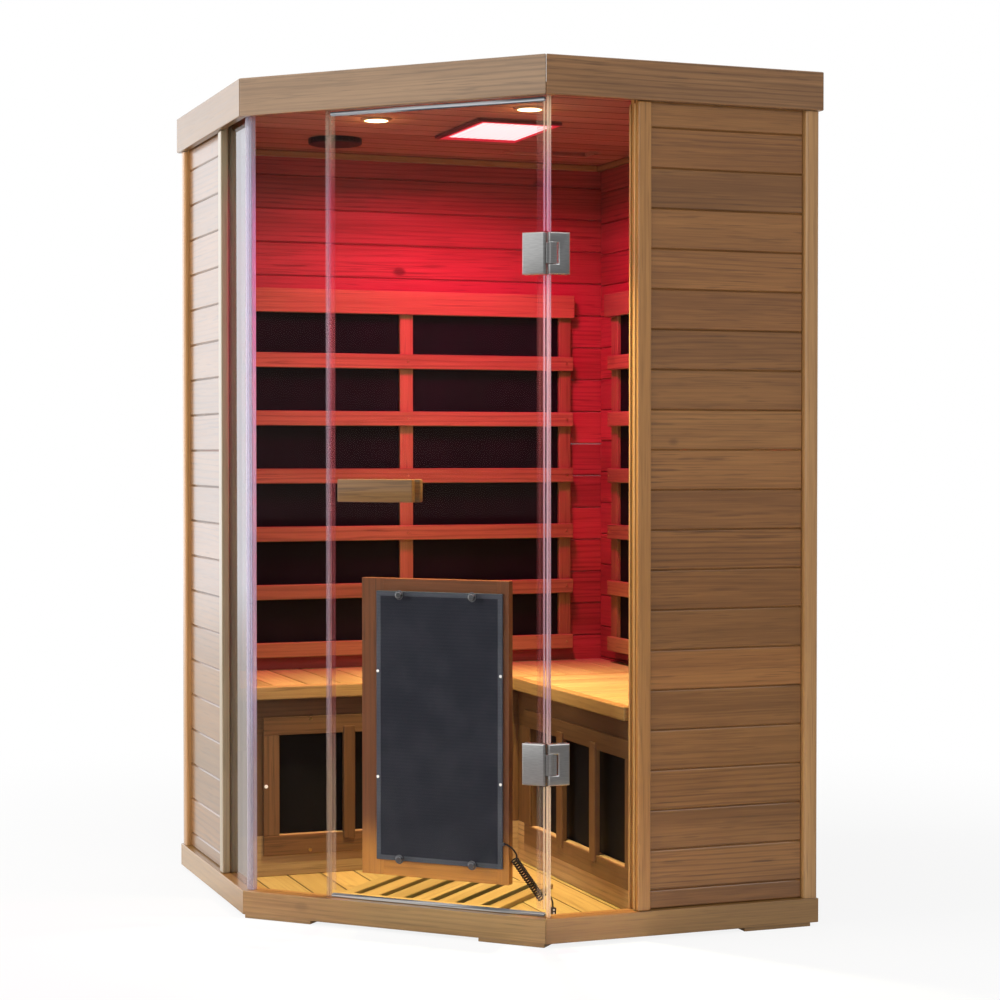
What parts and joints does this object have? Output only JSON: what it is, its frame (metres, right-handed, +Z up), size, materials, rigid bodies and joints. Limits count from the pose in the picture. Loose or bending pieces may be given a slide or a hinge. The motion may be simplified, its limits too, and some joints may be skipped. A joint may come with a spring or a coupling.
{
  "type": "infrared sauna cabin",
  "caption": "Corner infrared sauna cabin of pale wood with a frameless glass door across its cut corner, slatted wall heaters, a corner bench, ceiling lights and a heater on the door.",
  "frame": {"origin": "on the room floor under the middle of the square that the roof outline fits, at the bottom of the feet", "axes": "+Z up, +Y towards the back wall, +X along the back wall to the right; the cut corner with the door faces -X and -Y"},
  "size_m": [1.2, 1.2, 1.908],
  "materials": {
    "outer_wood": "oiled planks, satin",
    "inner_wood": "planed, satin",
    "clear_glass": "polished",
    "clear_seal": "clear, glossy",
    "hinge_metal": "satin",
    "heater_black": "semi-gloss black",
    "heater_grey": "satin grey",
    "black_plastic": "matt black",
    "cord_rubber": "satin black",
    "warm_lamp": "lit lens",
    "red_lamp": "lit lens",
    "white_plastic": "satin"
  },
  "bodies": {
    "cabin": {"plinth_left": "outer_wood", "plinth_door": "outer_wood", "plinth_front": "outer_wood", "plinth_right": "outer_wood", "plinth_back": "outer_wood", "wall_back": "outer_wood", "wall_right": "outer_wood", "wall_front": "outer_wood", "wall_left": "outer_wood", "jamb_front": "outer_wood", "jamb_left": "outer_wood", "corner_post_front": "outer_wood", "corner_post_rear": "outer_wood", "fascia_left": "outer_wood", "fascia_door": "outer_wood", "fascia_front": "outer_wood", "fascia_rear": "outer_wood", "floor_panel": "inner_wood", "floor_grille": "inner_wood", "ceiling_panel": "inner_wood", "back_guard": "inner_wood", "right_guard": "inner_wood", "back_bench_seat": "inner_wood", "right_bench_seat": "inner_wood", "back_bench_front": "inner_wood", "right_bench_front": "inner_wood", "fixed_pane": "clear_glass", "front_sidelight": "clear_glass", "left_sidelight": "clear_glass", "corner_seal": "clear_seal", "strike_seal": "clear_seal", "hinge_seal_top": "clear_seal", "hinge_seal_middle": "clear_seal", "hinge_seal_bottom": "clear_seal", "top_hinge_fixed_leaf": "hinge_metal", "bottom_hinge_fixed_leaf": "hinge_metal", "floor_heater": "heater_black", "back_heater": "heater_black", "right_heater": "heater_black", "back_bench_heater": "heater_black", "right_bench_heater": "heater_black", "control_box": "black_plastic", "speaker": "black_plastic", "keypad": "black_plastic", "cord_floor_socket": "black_plastic", "heater_cord": "cord_rubber", "downlight_left": "warm_lamp", "downlight_right": "warm_lamp", "colour_light": "red_lamp", "temperature_sensor": "white_plastic"},
    "door": {"door_glass": "clear_glass", "door_top_strip": "clear_seal", "door_sweep": "clear_seal", "top_hinge_door_leaf": "hinge_metal", "bottom_hinge_door_leaf": "hinge_metal", "handle_outer": "inner_wood", "handle_inner": "inner_wood", "door_heater_frame": "inner_wood", "door_heater_panel": "heater_grey"},
    "vent": {"vent_slider": "inner_wood"}
  },
  "joints": [
    {"name": "door_hinge", "type": "hinge", "parent": "cabin", "child": "door", "pos_m": [-0.04407, -0.57398, 0.939], "axis": [0, 0, 1], "range_deg": [0, 90], "deforming": ["heater_cord"]},
    {"name": "vent_slide", "type": "slide", "parent": "cabin", "child": "vent", "axis": [1, 0, 0], "range_m": [0, 0.112]}
  ]
}
